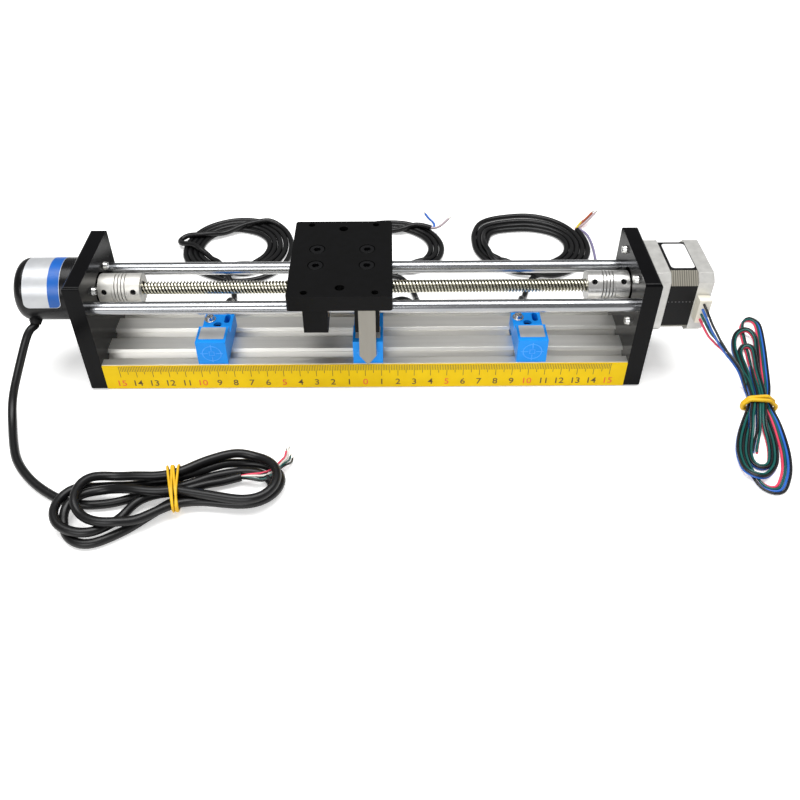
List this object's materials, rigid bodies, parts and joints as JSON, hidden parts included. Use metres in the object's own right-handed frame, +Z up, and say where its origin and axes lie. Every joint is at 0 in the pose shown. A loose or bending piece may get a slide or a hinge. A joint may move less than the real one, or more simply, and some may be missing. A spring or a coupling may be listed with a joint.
{
  "type": "lead screw linear module with stepper motor, shaft encoder and position sensors",
  "caption": "Motorised linear stage: a lead screw drives a carriage along two round rods, with end plates, ruler, shaft encoder and clamp-on position sensors.",
  "frame": {"origin": "bottom of the base, midway between its ends and its sides; x = 0 is the zero of the ruler", "axes": "+X along the lead screw from the encoder to the motor; +Y from the ruler's side to the side the sensor cables leave; +Z up"},
  "size_m": [0.4792, 0.309, 0.0786],
  "materials": {
    "base_aluminium": "satin anodised",
    "plate_black": "gloss black",
    "rod_steel": "ground and plated",
    "ruler_yellow": "printed steel strip, satin",
    "screw_black": "black oxide",
    "screw_steel": "bright zinc",
    "motor_cap": "machined casting",
    "motor_stack": "black varnish",
    "motor_inner": "ground steel",
    "copper": "enamelled copper",
    "connector_ivory": "matt",
    "encoder_black": "gloss black anodised",
    "board_green": "lacquered board",
    "gland_black": "matt",
    "lead_screw": "rolled stainless",
    "coupling_matt": "bead-blasted",
    "coupling_bright": "turned and polished",
    "carriage_black": "satin black anodised",
    "bronze": "turned",
    "pointer_grey": "satin",
    "sensor_blue": "moulded, half gloss",
    "nut_steel": "zinc",
    "cable_black": "smooth sheath",
    "wires_mixed": "four thin sheathed wires",
    "band_yellow": "elastic band"
  },
  "bodies": {
    "frame": {"base_extrusion": "base_aluminium", "end_plate_left": "plate_black", "end_plate_right": "plate_black", "guide_rod_front": "rod_steel", "guide_rod_rear": "rod_steel", "ruler_strip": "ruler_yellow", "base_screws": "screw_black", "rod_screws": "screw_black", "motor_front_cap": "motor_cap", "motor_stack": "motor_stack", "motor_windings": "copper", "motor_rear_cap": "motor_cap", "motor_bearings": "motor_inner", "motor_mount_screws": "screw_steel", "motor_case_screws": "screw_steel", "motor_socket": "connector_ivory", "motor_plug": "connector_ivory", "encoder_body": "encoder_black", "encoder_cover": "encoder_black", "encoder_bearings": "motor_inner", "encoder_board": "board_green", "encoder_screws": "screw_steel", "encoder_gland": "gland_black", "sensor_left": "sensor_blue", "sensor_middle": "sensor_blue", "sensor_right": "sensor_blue", "sensor_grommets": "gland_black", "sensor_screws": "screw_steel", "sensor_washers": "screw_steel", "sensor_nuts": "nut_steel", "encoder_lead": "cable_black", "encoder_hank": "cable_black", "encoder_band": "band_yellow", "motor_lead": "wires_mixed", "motor_hank": "wires_mixed", "motor_band": "band_yellow", "sensor_lead_left": "cable_black", "sensor_lead_middle": "cable_black", "sensor_lead_right": "cable_black", "sensor_coil_left": "cable_black", "sensor_coil_middle": "cable_black", "sensor_coil_right": "cable_black"},
    "spindle": {"lead_screw": "lead_screw", "coupling_left": "coupling_matt", "coupling_right": "coupling_bright", "coupling_screws": "screw_black", "motor_rotor": "motor_inner", "encoder_shaft": "motor_inner", "encoder_disc": "motor_inner"},
    "carriage": {"carriage_table": "carriage_black", "cross_bar_left": "carriage_black", "cross_bar_right": "carriage_black", "slide_bushes": "bronze", "lead_nut": "bronze", "carriage_screws": "screw_black", "nut_screws": "screw_steel", "pointer": "pointer_grey", "pointer_screw": "screw_steel"}
  },
  "joints": [
    {"name": "spindle_spin", "type": "hinge", "parent": "frame", "child": "spindle", "pos_m": [0, 0, 0.056], "axis": [1, 0, 0], "range_deg": [-5610, 4440]},
    {"name": "carriage_slide", "type": "slide", "parent": "frame", "child": "carriage", "axis": [1, 0, 0], "range_m": [-0.0985, 0.1245]}
  ],
  "couplings": [
    {"joint": "spindle_spin", "follows": "carriage_slide", "rad_per_m": -785.4}
  ]
}
